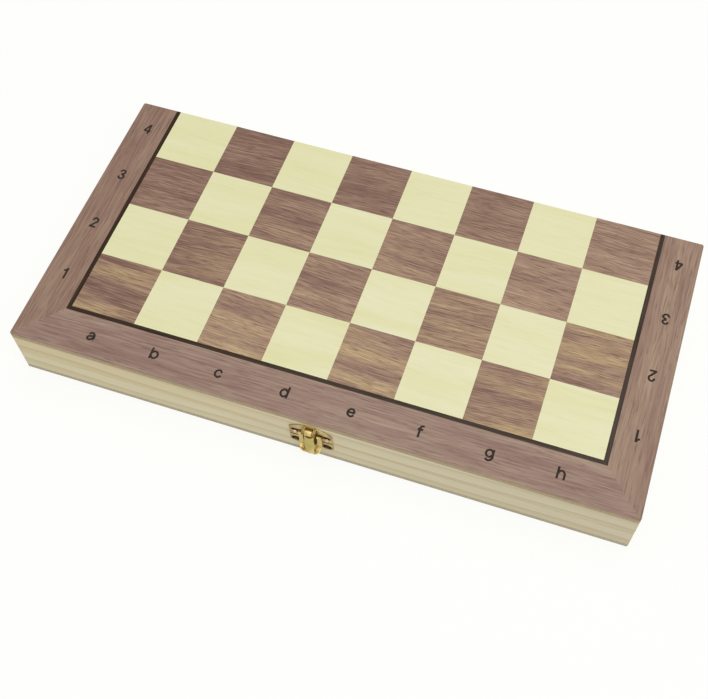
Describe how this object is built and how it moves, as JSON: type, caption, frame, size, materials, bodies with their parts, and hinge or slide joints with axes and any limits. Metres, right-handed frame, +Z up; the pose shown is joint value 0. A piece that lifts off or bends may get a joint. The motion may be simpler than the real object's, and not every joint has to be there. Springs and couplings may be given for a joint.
{
  "type": "folding chess and backgammon board",
  "caption": "Shallow folding wooden game box: half a chess board with border and coordinates on each broad face, backgammon points inside, butt hinges behind and a swing latch in front.",
  "frame": {"origin": "centre of the closed box's footprint, on the surface it lies on", "axes": "+X along the hinge, to the right as seen from the latch; +Y from the latch towards the hinge; +Z up through the upper chess face"},
  "size_m": [0.2914, 0.1535, 0.03],
  "materials": {
    "walnut_border": "satin lacquered walnut veneer",
    "walnut_square": "satin lacquered walnut veneer",
    "maple_square": "satin lacquered pale maple veneer",
    "black_line": "black dyed veneer",
    "walnut_point": "satin lacquered walnut veneer",
    "cherry_point": "satin lacquered cherry veneer",
    "birch_lining": "satin lacquered birch veneer",
    "fibreboard": "sawn fibreboard",
    "pine": "planed pine, clear satin lacquer",
    "latch_brass": "stamped and brass plated",
    "nail_brass": "brass plated",
    "hinge_brass": "stamped and brass plated",
    "screw_steel": "brass plated"
  },
  "bodies": {
    "lower_half": {"catch_nails": "nail_brass", "catch_plate": "latch_brass", "hinge_left_lower_leaf": "hinge_brass", "hinge_left_pin": "hinge_brass", "hinge_right_lower_leaf": "hinge_brass", "hinge_right_pin": "hinge_brass", "lower_back_rail": "pine", "lower_border_front": "walnut_border", "lower_border_left": "walnut_border", "lower_border_right": "walnut_border", "lower_dark_points": "walnut_point", "lower_dark_squares": "walnut_square", "lower_front_rail": "pine", "lower_hinge_screws": "screw_steel", "lower_left_rail": "pine", "lower_light_points": "cherry_point", "lower_light_squares": "maple_square", "lower_line_front": "black_line", "lower_line_left": "black_line", "lower_line_right": "black_line", "lower_lining": "birch_lining", "lower_panel": "fibreboard", "lower_right_rail": "pine"},
    "upper_half": {"hinge_left_upper_leaf": "hinge_brass", "hinge_right_upper_leaf": "hinge_brass", "latch_nails": "nail_brass", "latch_pin": "latch_brass", "latch_plate": "latch_brass", "upper_back_rail": "pine", "upper_border_front": "walnut_border", "upper_border_left": "walnut_border", "upper_border_right": "walnut_border", "upper_dark_points": "walnut_point", "upper_dark_squares": "walnut_square", "upper_front_rail": "pine", "upper_hinge_screws": "screw_steel", "upper_left_rail": "pine", "upper_light_points": "cherry_point", "upper_light_squares": "maple_square", "upper_line_front": "black_line", "upper_line_left": "black_line", "upper_line_right": "black_line", "upper_lining": "birch_lining", "upper_panel": "fibreboard", "upper_right_rail": "pine"},
    "latch_tongue": {"latch_tongue": "latch_brass"}
  },
  "joints": [
    {"name": "lid_fold", "type": "hinge", "parent": "lower_half", "child": "upper_half", "pos_m": [0, 0.0738, 0.015], "axis": [-1, 0, 0], "range_deg": [0, 180]},
    {"name": "latch_swing", "type": "hinge", "parent": "upper_half", "child": "latch_tongue", "pos_m": [0, -0.07595, 0.0241], "axis": [-1, 0, 0], "range_deg": [0, 105]}
  ]
}
